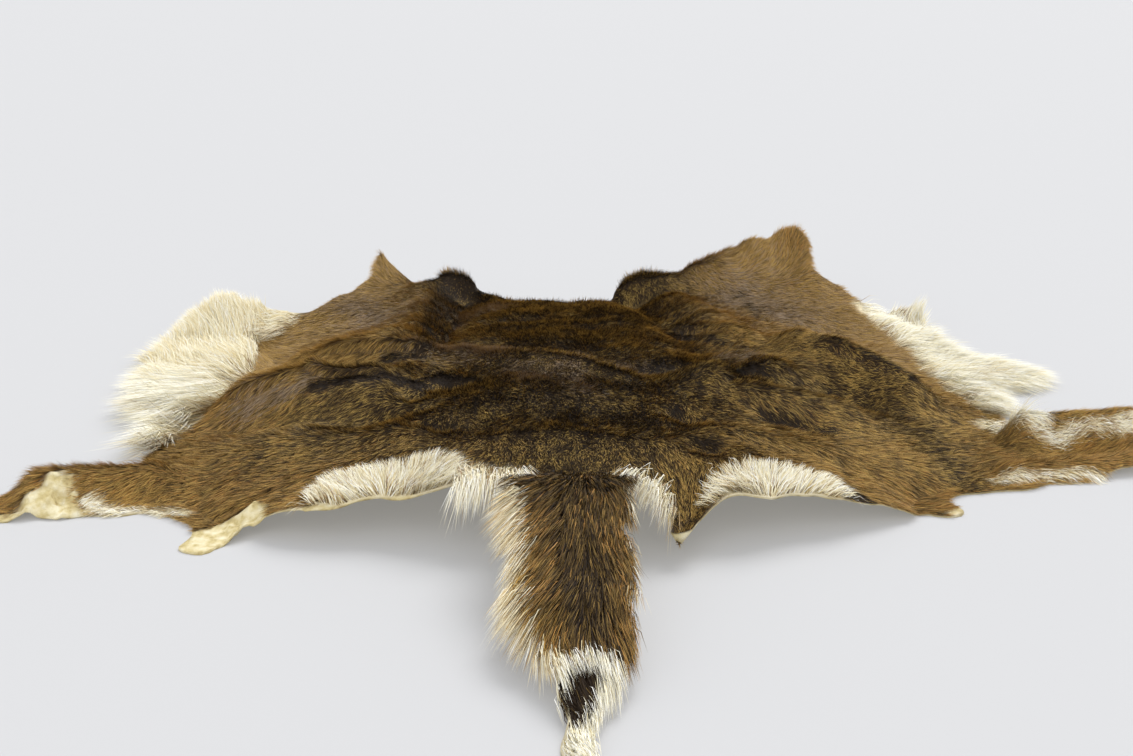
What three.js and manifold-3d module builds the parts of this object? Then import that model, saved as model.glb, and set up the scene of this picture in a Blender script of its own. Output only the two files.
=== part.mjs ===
// A tanned deer hide lying hair side up, as stiff as such a hide dries: the back stands in a low dome,
// the belly edges and leg ends lie flat on the floor, the forequarters curl up and the tail slopes down.
// Millimetres, +Z up. It is one skin, so it is one solid: skin and coat together, with the long hair of
// the belly, rump and tail standing out of the rim as locks.
import * as THREE from "three";
import { mergeVertices } from "three/addons/utils/BufferGeometryUtils.js";
import Module from "manifold-3d";

const wasm = await Module();
wasm.setup();

// Driving dimensions. Plan places are measured from the root of the tail: +x to the right, +y to the neck.
const footprintCentre = { x: 33.5, y: 305.6 }; // the middle of the outline's box, where the origin goes
const gridStep = 27; // spacing of the points on the skin
const snapShare = 0.34; // a point nearer the rim than this share of a step moves onto it
const skinThickness = 2.5;
const coatDepth = 8; // how far the short hair of the back stands off the skin
const coatTaper = 26; // distance from the rim in which the coat reaches that depth
const filletRadius = 34; // rounding where a limb runs out of the trunk
const raggedness = { depth: 5, wave: 17 }; // the knife's wander along the rim
const swell = { height: 5, wave: 62 }; // soft unevenness of the whole skin
const floorPress = 7; // how much lower than its free shape the skin is pressed, so that its edges lie flat
const domePower = 1.25; // how fast the dome falls from the spine to the belly
const leastDomeReach = 372; // the dome is never narrower than this, even where the rump is cut in
const edgeTolerance = 1e-6;

// Stations along the back: where the two side edges lie, how high the spine stands and how high the edges.
const trunkSections = [
  { y: 56, left: -240, right: 190, crest: 70, edge: 2 },
  { y: 120, left: -380, right: 332, crest: 92, edge: 6 },
  { y: 225, left: -446, right: 428, crest: 99, edge: 2 },
  { y: 340, left: -456, right: 486, crest: 97, edge: 0 },
  { y: 480, left: -446, right: 514, crest: 91, edge: 0 },
  { y: 620, left: -436, right: 516, crest: 81, edge: 0 },
  { y: 720, left: -398, right: 476, crest: 69, edge: 10 },
  { y: 800, left: -342, right: 428, crest: 57, edge: 46 },
  { y: 868, left: -296, right: 372, crest: 45, edge: 68 },
];

// Stations along the tail, from its root to the tip of its last hairs. depth is how round it is with hair.
const tailSections = [
  { y: 70, x: 4, half: 58, crest: 84, depth: 12 },
  { y: 0, x: 6, half: 44, crest: 80, depth: 16 },
  { y: -70, x: 9, half: 40, crest: 66, depth: 22 },
  { y: -150, x: 13, half: 40, crest: 46, depth: 26 },
  { y: -215, x: 13, half: 32, crest: 27, depth: 24 },
  { y: -262, x: 11, half: 20, crest: 13, depth: 20 },
  { y: -320, x: 10, half: 12, crest: 4, depth: 15 },
  { y: -362, x: 9, half: 6, crest: 0, depth: 9 },
];

// Everything that runs out of the trunk. lift is how far the tip stands above the trunk's own dome.
const limbs = [
  { name: "left hind leg", from: [-372, 196], to: [-614, 120], wide: 64, narrow: 17, lift: 6 },
  { name: "right hind leg", from: [404, 268], to: [666, 296], wide: 84, narrow: 32, lift: 10 },
  { name: "left thigh corner", from: [-296, 150], to: [-338, 46], wide: 62, narrow: 14, lift: -24 },
  { name: "right thigh corner", from: [312, 200], to: [366, 140], wide: 72, narrow: 18, lift: -10 },
  { name: "right rump flap", from: [128, 128], to: [101, 16], wide: 46, narrow: 7, lift: -56 },
  { name: "left flank", from: [-396, 486], to: [-440, 484], wide: 86, narrow: 58, lift: 0 },
  { name: "left belly", from: [-390, 610], to: [-452, 652], wide: 96, narrow: 88, lift: 0 },
  { name: "left armpit", from: [-396, 720], to: [-470, 776], wide: 62, narrow: 40, lift: 2 },
  { name: "right belly", from: [466, 620], to: [540, 590], wide: 92, narrow: 46, lift: 0 },
  { name: "right armpit", from: [430, 760], to: [462, 800], wide: 64, narrow: 34, lift: -34 },
  { name: "left foreleg", from: [-234, 836], to: [-274, 936], wide: 58, narrow: 4, lift: 52 },
  { name: "left neck edge", from: [-160, 820], to: [-162, 892], wide: 74, narrow: 26, lift: 26 },
  { name: "right neck edge", from: [116, 830], to: [114, 898], wide: 58, narrow: 38, lift: 22 },
  { name: "right withers", from: [182, 840], to: [196, 914], wide: 64, narrow: 34, lift: 26 },
  { name: "right foreleg inner edge", from: [214, 852], to: [248, 948], wide: 52, narrow: 32, lift: 46 },
  { name: "right foreleg", from: [272, 840], to: [324, 940], wide: 90, narrow: 36, lift: 64 },
];

// Ridges (height above 0) and troughs (below 0) where the stiff skin has buckled, each along a line.
const folds = [
  { name: "left flank ridge", from: [-376, 426], to: [-300, 404], height: 22, width: 24 },
  { name: "left loin ridge", from: [-286, 376], to: [-192, 274], height: 17, width: 22 },
  { name: "left flank trough", from: [-366, 366], to: [-190, 224], height: -15, width: 22 },
  { name: "left shoulder lower ridge", from: [-316, 556], to: [-176, 424], height: 17, width: 24 },
  { name: "left shoulder inner ridge", from: [-192, 500], to: [-200, 850], height: 15, width: 24 },
  { name: "left neck trough", from: [-146, 470], to: [-150, 870], height: -20, width: 20 },
  { name: "left elbow trough", from: [-400, 650], to: [-330, 610], height: -14, width: 24 },
  { name: "left back ridge", from: [-112, 410], to: [4, 306], height: 12, width: 22 },
  { name: "right flank ridge", from: [282, 506], to: [392, 424], height: 32, width: 25 },
  { name: "right flank trough", from: [206, 356], to: [330, 388], height: -17, width: 22 },
  { name: "right back ridge", from: [158, 296], to: [240, 404], height: 16, width: 22 },
  { name: "right loin ridge", from: [196, 268], to: [300, 298], height: 13, width: 19 },
  { name: "right neck trough", from: [92, 850], to: [152, 480], height: -17, width: 21 },
  { name: "right shoulder inner ridge", from: [150, 820], to: [206, 560], height: 12, width: 24 },
  { name: "left shank ridge", from: [-420, 186], to: [-560, 152], height: 34, width: 21 },
  { name: "right shank front ridge", from: [470, 236], to: [640, 262], height: 20, width: 19 },
  { name: "right shank back ridge", from: [505, 338], to: [650, 322], height: 42, width: 17 },
  { name: "neck trough", from: [-70, 850], to: [50, 846], height: -8, width: 30 },
];

// Patches of long hair, thicker than the coat of the back, each fading out from its line.
const longHair = [
  { name: "left belly", from: [-430, 420], to: [-500, 740], depth: 17, width: 52 },
  { name: "right belly", from: [540, 520], to: [490, 770], depth: 13, width: 46 },
  { name: "left rump", from: [-230, 84], to: [-70, 72], depth: 9, width: 30 },
  { name: "right rump", from: [110, 76], to: [240, 92], depth: 9, width: 30 },
];

// Long hair at the rim, row by row: locks rooted from one place to another, fanning between two headings
// in degrees from +x. drop is how far a tip falls below its root.
const lockRows = [
  { name: "left belly fan", from: [-470, 560], to: [-500, 770], heading: [186, 128], count: 22, length: 66, drop: -8 },
  { name: "left groin", from: [-466, 290], to: [-488, 548], heading: [236, 196], count: 16, length: 56, drop: 6 },
  { name: "left armpit", from: [-480, 790], to: [-420, 800], heading: [118, 95], count: 5, length: 34, drop: -4 },
  { name: "right belly", from: [540, 530], to: [552, 610], heading: [-28, 14], count: 9, length: 34, drop: 4 },
  { name: "right ribs", from: [540, 650], to: [476, 800], heading: [14, 38], count: 9, length: 34, drop: 4 },
  { name: "left rump", from: [-150, 76], to: [-56, 66], heading: [256, 268], count: 11, length: 34, drop: 22 },
  { name: "right rump", from: [152, 78], to: [236, 96], heading: [266, 285], count: 9, length: 26, drop: 14 },
  { name: "right flap", from: [122, 74], to: [66, 66], heading: [258, 266], count: 6, length: 66, drop: 34 },
  { name: "right thigh", from: [320, 138], to: [392, 150], heading: [262, 300], count: 7, length: 26, drop: 6 },
  { name: "tail left side", from: [-28, -20], to: [-12, -226], heading: [226, 252], count: 15, length: 50, drop: 16 },
  { name: "tail right side", from: [42, -20], to: [38, -226], heading: [304, 288], count: 15, length: 34, drop: 16 },
  { name: "tail tip", from: [2, -318], to: [18, -318], heading: [264, 276], count: 4, length: 40, drop: 2 },
];
const lockRootRadius = 6.5;
const lockSides = 3;
const lockMiddle = { at: 0.5, radiusShare: 0.72 }; // a lock keeps its width to about its middle
const lockSpread = { heading: 7, length: 0.22 }; // unevenness, in degrees and as a share
const lockInset = 13; // the least depth inside the rim at which a lock is rooted
const leastTipHeight = 2.6; // a lock that reaches the floor lies along it

// Small helpers
const clamp = (value, low, high) => Math.min(high, Math.max(low, value));
const mix = (a, b, share) => a + (b - a) * share;
const smooth = (low, high, value) => {
  const t = clamp((value - low) / (high - low), 0, 1);
  return t * t * (3 - 2 * t);
};
// A rounded maximum: the two values melt into each other where they are closer than the radius.
const melt = (a, b, radius) => {
  const near = clamp(1 - Math.abs(a - b) / radius, 0, 1);
  return Math.max(a, b) + (near * near * radius) / 4;
};
// An even, repeatable unevenness between -1 and 1 with about this wave length.
const wander = (x, y, wave) =>
  Math.sin(x / wave + 1.7 * Math.sin((0.83 * y) / wave + 0.4)) *
  Math.cos((1.13 * y) / wave - 1.3 * Math.sin((0.71 * x) / wave + 2.1));
// A repeatable number between -1 and 1 for the index of a piece.
const scatter = (index, salt) => {
  const wave = Math.sin(index * 12.9898 + salt * 78.233) * 43758.5453;
  return 2 * (wave - Math.floor(wave)) - 1;
};

// The row of a table of sections at a place y, mixed smoothly from the two rows around it.
function sectionAt(sections, y) {
  const rising = sections[0].y < sections[sections.length - 1].y ? sections : [...sections].reverse();
  const next = rising.findIndex((row) => row.y > y);
  if (next === 0) return rising[0];
  if (next === -1) return rising[rising.length - 1];
  const [low, high] = [rising[next - 1], rising[next]];
  const share = smooth(0, 1, (y - low.y) / (high.y - low.y)) * 0.4 + ((y - low.y) / (high.y - low.y)) * 0.6;
  return Object.fromEntries(Object.keys(low).map((key) => [key, mix(low[key], high[key], share)]));
}

// How far along a line a place lies, from 0 to 1, and how far from it.
function alongLine({ from, to }, x, y) {
  const [dx, dy] = [to[0] - from[0], to[1] - from[1]];
  const share = clamp(((x - from[0]) * dx + (y - from[1]) * dy) / (dx * dx + dy * dy), 0, 1);
  return { share, away: Math.hypot(x - from[0] - share * dx, y - from[1] - share * dy) };
}

// 1 on a line, falling off softly to its sides and beyond its ends.
function bump(line, x, y) {
  const { away } = alongLine(line, x, y);
  return Math.exp((-away * away) / (2 * line.width * line.width));
}

// Depth inside a piece of the plan: above 0 inside it, below 0 outside, in millimetres.
function trunkDepth(x, y) {
  const { left, right } = sectionAt(trunkSections, y);
  return Math.min(x - left, right - x, y - trunkSections[0].y, trunkSections.at(-1).y - y);
}
function tailDepth(x, y) {
  const tail = sectionAt(tailSections, y);
  return Math.min(tail.half - Math.abs(x - tail.x), tailSections[0].y - y, y - tailSections.at(-1).y);
}
function limbDepth(limb, x, y) {
  const { share, away } = alongLine(limb, x, y);
  return mix(limb.wide, limb.narrow, share) - away;
}

// Depth inside the whole outline.
function planDepth(x, y) {
  let depth = melt(trunkDepth(x, y), tailDepth(x, y), filletRadius);
  for (const limb of limbs) depth = melt(depth, limbDepth(limb, x, y), filletRadius);
  return depth + raggedness.depth * wander(x, y, raggedness.wave);
}

// Height of the skin's underside in its free shape, before the floor stops it.
function freeHeight(x, y) {
  const { left, right, crest, edge } = sectionAt(trunkSections, y);
  const reach = clamp(Math.abs(x) / Math.max(leastDomeReach, x < 0 ? -left : right), 0, 1);
  const dome = mix(edge, crest, (1 - reach * reach) ** domePower);
  const onTail = smooth(62, 4, y) * smooth(96, 58, Math.abs(x));
  let height = mix(dome, sectionAt(tailSections, y).crest, onTail);
  for (const limb of limbs) {
    const { share } = alongLine(limb, x, y);
    height += limb.lift * share * share * smooth(-30, 24, limbDepth(limb, x, y));
  }
  for (const fold of folds) height += fold.height * bump(fold, x, y);
  return height + swell.height * wander(x, y, swell.wave) * (1 - onTail);
}

const underside = (x, y) => Math.max(0, freeHeight(x, y) - floorPress);

// Skin and coat together: thin at the rim, thicker where the tail is round with hair.
function thickness(x, y) {
  let depth = coatDepth;
  for (const patch of longHair) depth += patch.depth * bump(patch, x, y);
  const coat = depth * smooth(0, coatTaper, planDepth(x, y));
  const tail = sectionAt(tailSections, y);
  const roundness = Math.sqrt(clamp(1 - ((x - tail.x) / tail.half) ** 2, 0, 1));
  return skinThickness + mix(coat, tail.depth * roundness, smooth(40, -40, y));
}

// The plan as triangles: a square grid, its points near the rim drawn onto it and its cells cut at it.
function planTriangles() {
  const [lowX, highX, lowY, highY] = [-660, 730, -400, 980];
  const columns = Math.ceil((highX - lowX) / gridStep);
  const rows = Math.ceil((highY - lowY) / gridStep);
  const points = [];
  const addPoint = (x, y, depth) => points.push({ x, y, depth }) - 1;
  for (let row = 0; row <= rows; row++)
    for (let column = 0; column <= columns; column++)
      addPoint(...ontoRim(lowX + column * gridStep, lowY + row * gridStep));
  const cuts = new Map();
  const cut = (a, b) => {
    const key = a < b ? `${a}_${b}` : `${b}_${a}`;
    if (!cuts.has(key)) {
      const [p, q] = [points[a], points[b]];
      const share = p.depth / (p.depth - q.depth);
      cuts.set(key, addPoint(mix(p.x, q.x, share), mix(p.y, q.y, share), 0));
    }
    return cuts.get(key);
  };
  const triangles = [];
  const keepInside = (corners) => {
    const kept = [];
    corners.forEach((a, i) => {
      const b = corners[(i + 1) % corners.length];
      if (points[a].depth >= 0) kept.push(a);
      if (points[a].depth * points[b].depth < 0) kept.push(cut(a, b));
    });
    const middle = (axis) => kept.reduce((sum, k) => sum + points[k][axis], 0) / kept.length;
    if (kept.length < 3 || planDepth(middle("x"), middle("y")) < 0) return;
    for (let i = 2; i < kept.length; i++) triangles.push([kept[0], kept[i - 1], kept[i]]);
  };
  for (let row = 0; row < rows; row++)
    for (let column = 0; column < columns; column++) {
      const a = row * (columns + 1) + column;
      const [b, c, d] = [a + 1, a + columns + 2, a + columns + 1];
      const sides = (row + column) % 2 ? [[a, b, c], [a, c, d]] : [[a, b, d], [b, c, d]];
      sides.forEach(keepInside);
    }
  return { points, triangles };
}

// A grid point with its depth; one that lies close to the rim is moved onto it.
function ontoRim(x, y) {
  const depth = planDepth(x, y);
  const slopeX = planDepth(x + 1, y) - planDepth(x - 1, y);
  const slopeY = planDepth(x, y + 1) - planDepth(x, y - 1);
  const slope = Math.hypot(slopeX, slopeY) / 2;
  const away = depth / Math.max(slope, edgeTolerance);
  if (Math.abs(away) > snapShare * gridStep) return [x, y, depth];
  return [x - (away * slopeX) / (2 * slope), y - (away * slopeY) / (2 * slope), 0];
}

// The closed sheet: the plan's triangles above and below, and a narrow wall around the rim.
function sheetGeometry() {
  const { points, triangles } = planTriangles();
  const used = [...new Set(triangles.flat())];
  const place = new Map(used.map((point, i) => [point, i]));
  const positions = [];
  for (const top of [false, true])
    for (const point of used) {
      const { x, y } = points[point];
      positions.push(x, y, underside(x, y) + (top ? thickness(x, y) : 0));
    }
  const over = used.length;
  const index = [];
  const edges = new Map();
  for (const triangle of triangles) {
    const [a, b, c] = triangle.map((point) => place.get(point));
    index.push(c, b, a, a + over, b + over, c + over);
    for (const [from, to] of [[a, b], [b, c], [c, a]]) {
      const back = `${to}_${from}`;
      if (!edges.delete(back)) edges.set(`${from}_${to}`, [from, to]);
    }
  }
  for (const [from, to] of edges.values()) index.push(from, to, to + over, from, to + over, from + over);
  const geometry = new THREE.BufferGeometry();
  geometry.setAttribute("position", new THREE.Float32BufferAttribute(positions, 3));
  geometry.setIndex(index);
  return geometry;
}

// One lock of long hair: a three-sided spike that is widest at its root and bends towards the floor.
function lockGeometry(row, order, number) {
  const share = row.count > 1 ? order / (row.count - 1) : 0.5;
  const heading = THREE.MathUtils.degToRad(
    mix(row.heading[0], row.heading[1], share) + lockSpread.heading * scatter(number, 1),
  );
  const length = row.length * (1 + lockSpread.length * scatter(number, 2));
  const forward = new THREE.Vector3(Math.cos(heading), Math.sin(heading), 0);
  const root = new THREE.Vector3(mix(row.from[0], row.to[0], share), mix(row.from[1], row.to[1], share), 0);
  for (let step = 0; step < 40 && planDepth(root.x, root.y) < lockInset; step++) root.addScaledVector(forward, -3);
  root.z = underside(root.x, root.y) + thickness(root.x, root.y) / 2;
  const tip = root.clone().addScaledVector(forward, length + lockInset);
  tip.z = Math.max(leastTipHeight, root.z - row.drop * (1 + 0.4 * scatter(number, 3)));
  const middle = root.clone().lerp(tip, lockMiddle.at);
  middle.z = Math.max(middle.z + 0.18 * (root.z - tip.z), leastTipHeight + lockRootRadius * 0.4);
  const sideways = new THREE.Vector3(-forward.y, forward.x, 0);
  const ring = (centre, radius) =>
    Array.from({ length: lockSides }, (_, side) => {
      const turn = (side / lockSides) * 2 * Math.PI + Math.PI / 2;
      const point = centre.clone().addScaledVector(sideways, radius * Math.cos(turn));
      point.z = Math.max(edgeTolerance, point.z + 0.5 * radius * Math.sin(turn));
      return point;
    });
  const radius = Math.min(lockRootRadius, thickness(root.x, root.y) * 0.9);
  const corners = [...ring(root, radius), ...ring(middle, radius * lockMiddle.radiusShare), tip];
  const index = [0, 2, 1];
  for (let side = 0; side < lockSides; side++) {
    const next = (side + 1) % lockSides;
    index.push(side, next, lockSides + next, side, lockSides + next, lockSides + side);
    index.push(lockSides + side, lockSides + next, 2 * lockSides);
  }
  const geometry = new THREE.BufferGeometry().setFromPoints(corners);
  geometry.setIndex(index);
  return geometry;
}

// A closed geometry as a solid, and back.
function solidOf(geometry) {
  const merged = mergeVertices(geometry, edgeTolerance);
  const vertProperties = new Float32Array(merged.attributes.position.array);
  const triVerts = new Uint32Array(merged.index.array);
  return new wasm.Manifold(new wasm.Mesh({ numProp: 3, vertProperties, triVerts }));
}
function geometryOf(solid) {
  const { vertProperties, triVerts } = solid.getMesh();
  const geometry = new THREE.BufferGeometry();
  geometry.setAttribute("position", new THREE.BufferAttribute(new Float32Array(vertProperties), 3));
  geometry.setIndex(new THREE.BufferAttribute(new Uint32Array(triVerts), 1));
  geometry.computeVertexNormals();
  return geometry;
}

// The hide: the sheet with every lock joined to it. Pockets closed in between locks are filled.
function hideGeometry() {
  const pieces = [solidOf(sheetGeometry())];
  for (const row of lockRows)
    for (let order = 0; order < row.count; order++) pieces.push(solidOf(lockGeometry(row, order, pieces.length)));
  const shells = wasm.Manifold.union(pieces).decompose();
  shells.sort((a, b) => b.volume() - a.volume());
  return geometryOf(shells[0]);
}

const coat = new THREE.MeshStandardMaterial({ color: 0x5a4128, roughness: 0.92, metalness: 0 });
const hide = new THREE.Mesh(hideGeometry(), coat);
hide.name = "hide";
hide.position.set(-footprintCentre.x, -footprintCentre.y, 0);

const deerHide = new THREE.Group();
deerHide.add(hide);

export default deerHide;
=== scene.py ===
import bpy
import math
import numpy as np
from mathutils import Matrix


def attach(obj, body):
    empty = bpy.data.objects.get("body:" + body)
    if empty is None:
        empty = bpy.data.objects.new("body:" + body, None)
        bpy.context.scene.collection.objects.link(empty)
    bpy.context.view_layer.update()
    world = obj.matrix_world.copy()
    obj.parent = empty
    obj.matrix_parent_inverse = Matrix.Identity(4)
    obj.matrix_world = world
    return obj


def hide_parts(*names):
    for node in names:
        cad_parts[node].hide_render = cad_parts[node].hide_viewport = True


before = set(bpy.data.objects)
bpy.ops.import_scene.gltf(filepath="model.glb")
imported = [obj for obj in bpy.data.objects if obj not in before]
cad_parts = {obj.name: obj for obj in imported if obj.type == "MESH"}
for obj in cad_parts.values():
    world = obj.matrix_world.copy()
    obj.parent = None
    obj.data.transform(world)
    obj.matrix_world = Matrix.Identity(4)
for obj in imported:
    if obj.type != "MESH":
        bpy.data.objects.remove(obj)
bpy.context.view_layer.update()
print("deer hide: frame loaded")

# Plan places are millimetres from the root of the tail, +x right, +y to the neck, as in the part's source.
form = {
    "centreX": 33.5, "centreY": 305.6,      # middle of the outline, where the origin is
    "fillet": 34, "ragDepth": 5, "ragWave": 17,
    "swell": 5, "swellWave": 62,
    "press": 7, "domePower": 1.25, "domeReach": 372,
    "ripple": 1.6, "fineRipple": 0.8, "crumple": 6,
}


def rowsOf(keys, table):                # a table's rows as dictionaries; a short row leaves out its last keys
    return [dict(zip(keys, row)) for row in table]


trunkRows = rowsOf(("y", "left", "right", "crest", "edge"), [
    (56, -240, 190, 70, 2),
    (120, -380, 332, 92, 6),
    (225, -446, 428, 99, 2),
    (340, -456, 486, 97, 0),
    (480, -446, 514, 91, 0),
    (620, -436, 516, 81, 0),
    (720, -398, 476, 69, 10),
    (800, -342, 428, 57, 46),
    (868, -296, 372, 45, 68),
])
tailRows = rowsOf(("y", "x", "half", "crest", "depth"), [
    (-362, 9, 6, 0, 9),
    (-320, 9, 8, 4, 15),
    (-262, 10, 12, 13, 20),
    (-215, 12, 27, 27, 24),
    (-150, 13, 40, 46, 26),
    (-70, 9, 40, 66, 22),
    (0, 6, 44, 80, 16),
    (70, 4, 58, 84, 12),
])
# comb: how far the hair follows the limb to its tip
limbRows = rowsOf(("name", "from", "to", "wide", "narrow", "lift", "comb"), [
    ("left hind leg", (-372, 196), (-614, 120), 64, 17, 6, 1.0),
    ("right hind leg", (404, 268), (666, 296), 84, 32, 10, 1.0),
    ("left thigh corner", (-296, 150), (-338, 46), 62, 14, -24, 0.6),
    ("right thigh corner", (312, 200), (366, 140), 72, 18, -10, 0.6),
    ("right rump flap", (128, 128), (101, 16), 46, 7, -56, 0.8),
    ("left flank", (-396, 486), (-440, 484), 86, 58, 0, 0.0),
    ("left belly", (-390, 610), (-452, 652), 96, 88, 0, 0.0),
    ("left armpit", (-396, 720), (-470, 776), 62, 40, 2, 0.0),
    ("left fan", (-420, 684), (-478, 716), 70, 56, 0, 0.0),
    ("left belly foot", (-420, 560), (-452, 560), 80, 68, 0, 0.0),
    ("right belly", (466, 620), (540, 590), 92, 46, 0, 0.0),
    ("right armpit", (430, 760), (462, 800), 64, 34, -34, 0.0),
    ("left foreleg", (-234, 836), (-274, 936), 58, 4, 52, 0.9),
    ("left neck edge", (-160, 820), (-162, 892), 74, 26, 26, 0.0),
    ("right neck edge", (116, 830), (114, 898), 58, 38, 22, 0.0),
    ("right withers", (182, 840), (196, 914), 64, 34, 26, 0.0),
    ("right foreleg inner edge", (214, 852), (248, 948), 52, 32, 46, 0.4),
    ("right foreleg", (272, 840), (324, 940), 90, 36, 64, 0.8),
])
foldRows = rowsOf(("name", "from", "to", "height", "width"), [
    ("left flank ridge", (-376, 426), (-300, 404), 22, 24),
    ("left loin ridge", (-286, 376), (-192, 274), 17, 22),
    ("left flank trough", (-366, 366), (-190, 224), -15, 22),
    ("left shoulder lower ridge", (-316, 556), (-176, 424), 17, 24),
    ("left shoulder inner ridge", (-192, 500), (-200, 850), 15, 24),
    ("left neck trough", (-146, 470), (-150, 870), -20, 20),
    ("left elbow trough", (-400, 650), (-330, 610), -14, 24),
    ("left back ridge", (-112, 410), (4, 306), 12, 22),
    ("right flank ridge", (282, 506), (392, 424), 32, 25),
    ("right flank trough", (206, 356), (330, 388), -17, 22),
    ("right back ridge", (158, 296), (240, 404), 16, 22),
    ("right loin ridge", (196, 268), (300, 298), 13, 19),
    ("right neck trough", (92, 850), (152, 480), -17, 21),
    ("right shoulder inner ridge", (150, 820), (206, 560), 12, 24),
    ("left shank ridge", (-420, 186), (-516, 160), 31, 20),
    ("right shank front ridge", (470, 236), (640, 262), 20, 19),
    ("right shank back ridge", (505, 338), (650, 322), 42, 17),
    ("neck trough", (-70, 850), (50, 846), -8, 30),
])
# sharp lips where the skin has buckled over itself: a step up on the right of a line,
# seen from its start, easing off behind it
lipRows = rowsOf(("name", "from", "to", "height", "reach"), [
    ("left shoulder lip", (-158, 404), (-306, 536), 11, 60),
    ("left flank lip", (-186, 304), (-300, 394), 13, 46),
    ("left flank end", (-300, 394), (-386, 416), 13, 46),
    ("left neck lip", (-150, 850), (-152, 560), 7, 50),
    ("right shoulder lip", (224, 500), (132, 640), 9, 60),
    ("right mound lip", (384, 418), (290, 470), 9, 40),
    ("right loin lip", (228, 336), (158, 272), 9, 40),
])
# pits and puckers between the main folds
creaseRows = rowsOf(("name", "from", "to", "height", "width"), [
    ("left loin pit", (-172, 272), (-160, 268), -11, 11),
    ("left spine pit", (-134, 292), (-116, 288), -11, 10),
    ("left loin crease", (-186, 238), (-142, 218), -8, 9),
    ("left rump pit", (-140, 168), (-118, 160), -8, 8),
    ("right back pit", (176, 296), (214, 366), -12, 11),
    ("right loin pit", (206, 232), (254, 240), -11, 11),
    ("right rump pit", (114, 204), (124, 192), -10, 9),
    ("right tail pit", (122, 124), (140, 118), -8, 8),
    ("right mound hollow", (296, 408), (336, 404), -9, 12),
    ("right spine pit", (96, 340), (122, 362), -9, 14),
    ("neck pucker", (-60, 720), (40, 702), 3, 14),
    ("back pucker", (-70, 560), (70, 590), 3, 15),
    ("loin pucker", (-40, 330), (60, 296), 6, 13),
    ("left rump pucker", (-250, 190), (-150, 150), 6, 14),
    ("right rump pucker", (150, 170), (250, 186), 6, 14),
])


def smooth(low, high, value):
    t = np.clip((value - low) / (high - low), 0, 1)
    return t * t * (3 - 2 * t)


def mix(a, b, share):
    return a + (b - a) * share


def melt(a, b, radius):                 # a rounded maximum
    near = np.clip(1 - np.abs(a - b) / radius, 0, 1)
    return np.maximum(a, b) + near * near * radius / 4


def wander(x, y, wave):
    return (np.sin(x / wave + 1.7 * np.sin(0.83 * y / wave + 0.4))
            * np.cos(1.13 * y / wave - 1.3 * np.sin(0.71 * x / wave + 2.1)))


def cloud(x, y, size, seed):            # soft value noise between -1 and 1
    u, v = x / size, y / size
    i, j = np.floor(u), np.floor(v)
    fu, fv = smooth(0, 1, u - i), smooth(0, 1, v - j)

    def corner(a, b):
        wave = np.sin(a * 127.1 + b * 311.7 + seed * 74.7) * 43758.5453
        return 2 * (wave - np.floor(wave)) - 1
    return mix(mix(corner(i, j), corner(i + 1, j), fu), mix(corner(i, j + 1), corner(i + 1, j + 1), fu), fv)


def section(rows, y, *keys):            # a table's columns at places y, eased between its rows
    stations = np.array([row["y"] for row in rows], float)
    k = np.clip(np.searchsorted(stations, y, side="right") - 1, 0, len(rows) - 2)
    t = np.clip((y - stations[k]) / (stations[k + 1] - stations[k]), 0, 1)
    share = 0.4 * smooth(0, 1, t) + 0.6 * t
    columns = [np.array([row[key] for row in rows], float) for key in keys]
    return [mix(column[k], column[k + 1], share) for column in columns]


def alongLine(line, x, y):              # share of the way along a line, and distance from it
    (ax, ay), (bx, by) = line["from"], line["to"]
    dx, dy = bx - ax, by - ay
    share = np.clip(((x - ax) * dx + (y - ay) * dy) / max(dx * dx + dy * dy, 1e-9), 0, 1)
    return share, np.hypot(x - ax - share * dx, y - ay - share * dy)


def bump(line, x, y):
    away = alongLine(line, x, y)[1]
    return np.exp(-away * away / (2 * line["width"] ** 2))


def lip(line, x, y):
    (ax, ay), (bx, by) = line["from"], line["to"]
    length = math.hypot(bx - ax, by - ay)
    ux, uy = (bx - ax) / length, (by - ay) / length
    wobble = 5 * cloud(x, y, 30, 9)
    behind = (x - ax) * uy - (y - ay) * ux + wobble     # on the neck side, for lines that run to the left
    along = (x - ax) * ux + (y - ay) * uy
    ends = smooth(-16, 26, along) * smooth(length + 16, length - 26, along)
    return line["height"] * ends * smooth(-5, 5, behind) * np.exp(-np.maximum(behind, 0) / line["reach"])


def limbDepth(limb, x, y):
    share, away = alongLine(limb, x, y)
    return mix(limb["wide"], limb["narrow"], share) - away


def planDepth(x, y):                    # distance inside the outline
    left, right = section(trunkRows, y, "left", "right")
    trunk = np.minimum.reduce([x - left, right - x, y - trunkRows[0]["y"], trunkRows[-1]["y"] - y])
    tailX, half = section(tailRows, y, "x", "half")
    tail = np.minimum.reduce([half - np.abs(x - tailX), tailRows[-1]["y"] - y, y - tailRows[0]["y"]])
    depth = melt(trunk, tail, form["fillet"])
    for limb in limbRows:
        depth = melt(depth, limbDepth(limb, x, y), form["fillet"])
    return depth + form["ragDepth"] * wander(x, y, form["ragWave"])


def onTail(x, y):
    return smooth(62, 4, y) * smooth(96, 58, np.abs(x))


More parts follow.
